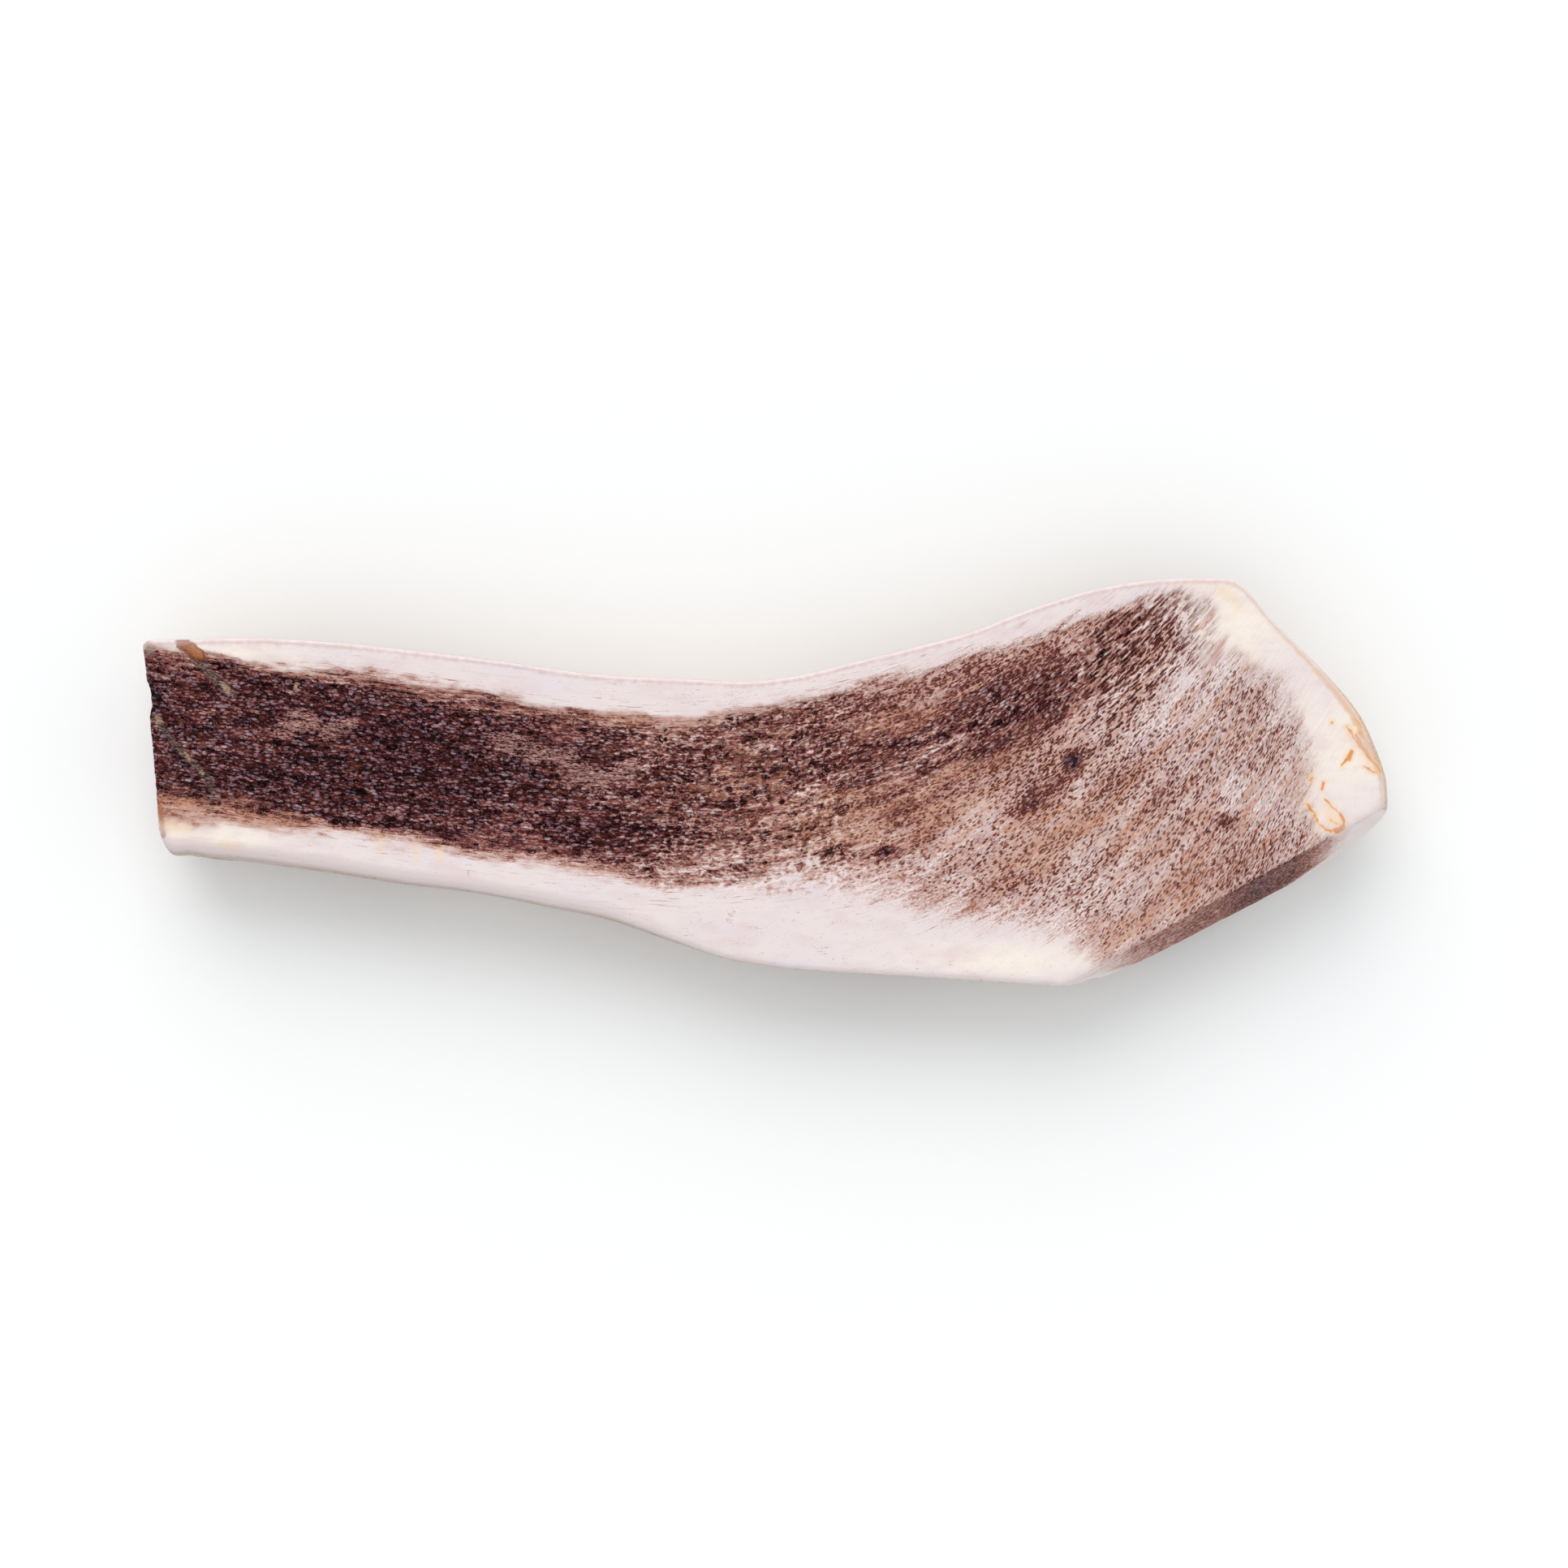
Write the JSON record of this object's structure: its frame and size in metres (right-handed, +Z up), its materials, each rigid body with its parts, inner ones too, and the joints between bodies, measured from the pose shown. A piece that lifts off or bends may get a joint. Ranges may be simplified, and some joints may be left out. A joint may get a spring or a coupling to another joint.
{
  "type": "split elk antler",
  "caption": "Half of a length of antler beam, sawn lengthwise, with a porous marrow face, a hard bone rim and a rounded, grooved back, for lying on a surface.",
  "frame": {"origin": "under the middle of the piece, on the surface that its rounded back rests on", "axes": "+X from the square cut to the flared end, +Z up, out of the sawn face"},
  "size_m": [0.21, 0.0694, 0.02],
  "materials": {
    "antler_bone": "satin sawn bone round a dark brown porous marrow, with a tan, grooved outer surface"
  },
  "bodies": {
    "root": {"antler": "antler_bone"}
  },
  "joints": []
}
